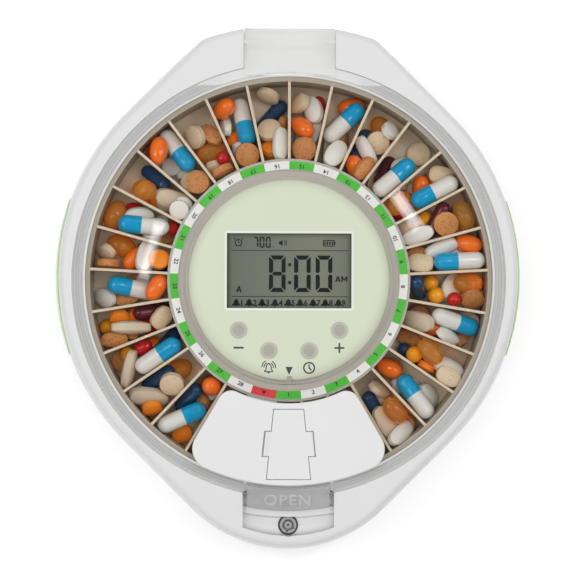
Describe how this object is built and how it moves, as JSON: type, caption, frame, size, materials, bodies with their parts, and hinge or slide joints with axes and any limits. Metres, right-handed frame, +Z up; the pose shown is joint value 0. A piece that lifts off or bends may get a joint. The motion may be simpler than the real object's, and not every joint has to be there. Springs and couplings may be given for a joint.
{
  "type": "automatic pill dispenser",
  "caption": "Round tabletop pill dispenser with a clear hinged lid, a turning tray of dose cells, a dispensing flap, a key lock and a central display dome with buttons.",
  "frame": {"origin": "middle of the footprint, on the surface it stands on", "axes": "+Z up, +Y towards the lid hinge at the rear, -Y towards the latch and key lock"},
  "size_m": [0.199, 0.2207, 0.063],
  "materials": {
    "case_white": "satin moulded plastic",
    "bay_plastic": "plain moulded plastic",
    "trim_green": "translucent light green plastic",
    "foot_rubber": "matt rubber",
    "screw_steel": "zinc-plated steel",
    "cell_jacket": "printed sleeve, plain",
    "black_plastic": "moulded black plastic",
    "board_green": "solder-masked board",
    "motor_steel": "drawn steel can",
    "gear_plastic": "natural acetal",
    "dome_green": "pale green satin plastic",
    "bezel_white": "white plastic",
    "indicator_grey": "smoked light guide",
    "lens_clear": "clear acrylic",
    "lcd": "grey liquid-crystal glass",
    "button_rubber": "grey silicone rubber",
    "lid_clear": "clear polycarbonate",
    "plate_white": "white plastic",
    "tray_cream": "cream translucent plastic",
    "ring_print": "printed ring, numbered 1 to 28",
    "cover_white": "white plastic",
    "lock_chrome": "plated zinc"
  },
  "bodies": {
    "case": {"lower_case": "case_white", "upper_case": "case_white", "deck_plate": "bay_plastic", "side_trim_left": "trim_green", "side_trim_right": "trim_green", "rubber_feet": "foot_rubber", "case_screws": "screw_steel", "battery_box": "bay_plastic", "batteries": "cell_jacket", "battery_contacts": "screw_steel", "dc_jack": "black_plastic", "power_board": "board_green", "buzzer": "black_plastic", "motor": "motor_steel", "motor_gearbox": "motor_steel", "motor_screws": "screw_steel", "position_switch": "black_plastic", "thrust_washer": "gear_plastic", "center_column": "bay_plastic", "column_screws": "screw_steel", "dome_collar": "tray_cream", "control_dome": "dome_green", "indicator_lens": "indicator_grey", "lcd_bezel": "bezel_white", "lcd_window": "lens_clear", "lcd_module": "lcd", "circuit_board": "board_green", "tilt_sensor": "black_plastic", "button_switches": "black_plastic", "hinge_pins": "screw_steel", "lock_sleeve": "lock_chrome"},
    "battery_door": {"battery_door": "bay_plastic"},
    "lid": {"lid": "lid_clear", "lock_tongue": "plate_white", "latch_pins": "screw_steel", "dispensing_plate": "plate_white", "flap_pin": "screw_steel"},
    "flap": {"flap": "plate_white"},
    "latch_tab": {"latch_tab": "lid_clear"},
    "tray": {"tray_floor": "tray_cream", "tray_hub": "tray_cream", "tray_rim": "tray_cream", "tray_dividers": "tray_cream", "dose_ring": "ring_print", "start_cell_cover": "cover_white", "turntable_gear": "gear_plastic"},
    "drive_pinion": {"drive_pinion": "gear_plastic", "output_shaft": "screw_steel"},
    "button_minus": {"button_minus": "button_rubber"},
    "button_plus": {"button_plus": "button_rubber"},
    "button_alarm": {"button_alarm": "button_rubber"},
    "button_clock": {"button_clock": "button_rubber"},
    "lock_plug": {"lock_plug": "lock_chrome", "lock_cam": "lock_chrome"}
  },
  "joints": [
    {"name": "lid_hinge", "type": "hinge", "parent": "case", "child": "lid", "pos_m": [0, 0.1034, 0.0546], "axis": [-1, 0, 0], "range_deg": [0, 100]},
    {"name": "flap_hinge", "type": "hinge", "parent": "lid", "child": "flap", "pos_m": [0.0096, -0.06315, 0.0583], "axis": [-0.0958, 0.9954, 0], "range_deg": [0, 95]},
    {"name": "latch_lift", "type": "hinge", "parent": "lid", "child": "latch_tab", "pos_m": [0, -0.0832, 0.0573], "axis": [-1, 0, 0], "range_deg": [0, 12], "stiffness_Nm_per_rad": 0.03},
    {"name": "tray_spin", "type": "hinge", "parent": "case", "child": "tray", "pos_m": [0, 0.0045, 0.031], "axis": [0, 0, 1], "continuous": true},
    {"name": "pinion_spin", "type": "hinge", "parent": "case", "child": "drive_pinion", "pos_m": [0, 0.0571, 0.029], "axis": [0, 0, 1], "continuous": true},
    {"name": "lock_turn", "type": "hinge", "parent": "case", "child": "lock_plug", "pos_m": [0, -0.0974, 0.045], "axis": [0, 0, 1], "range_deg": [0, 90]},
    {"name": "battery_door_slide", "type": "slide", "parent": "case", "child": "battery_door", "axis": [0, 1, 0], "range_m": [0, 0.008]},
    {"name": "press_minus", "type": "slide", "parent": "case", "child": "button_minus", "axis": [0, 0, -1], "range_m": [0, 0.0008], "stiffness_N_per_m": 400},
    {"name": "press_plus", "type": "slide", "parent": "case", "child": "button_plus", "axis": [0, 0, -1], "range_m": [0, 0.0008], "stiffness_N_per_m": 400},
    {"name": "press_alarm", "type": "slide", "parent": "case", "child": "button_alarm", "axis": [0, 0, -1], "range_m": [0, 0.0008], "stiffness_N_per_m": 400},
    {"name": "press_clock", "type": "slide", "parent": "case", "child": "button_clock", "axis": [0, 0, -1], "range_m": [0, 0.0008], "stiffness_N_per_m": 400}
  ],
  "couplings": [
    {"joint": "pinion_spin", "follows": "tray_spin", "ratio": -6}
  ]
}
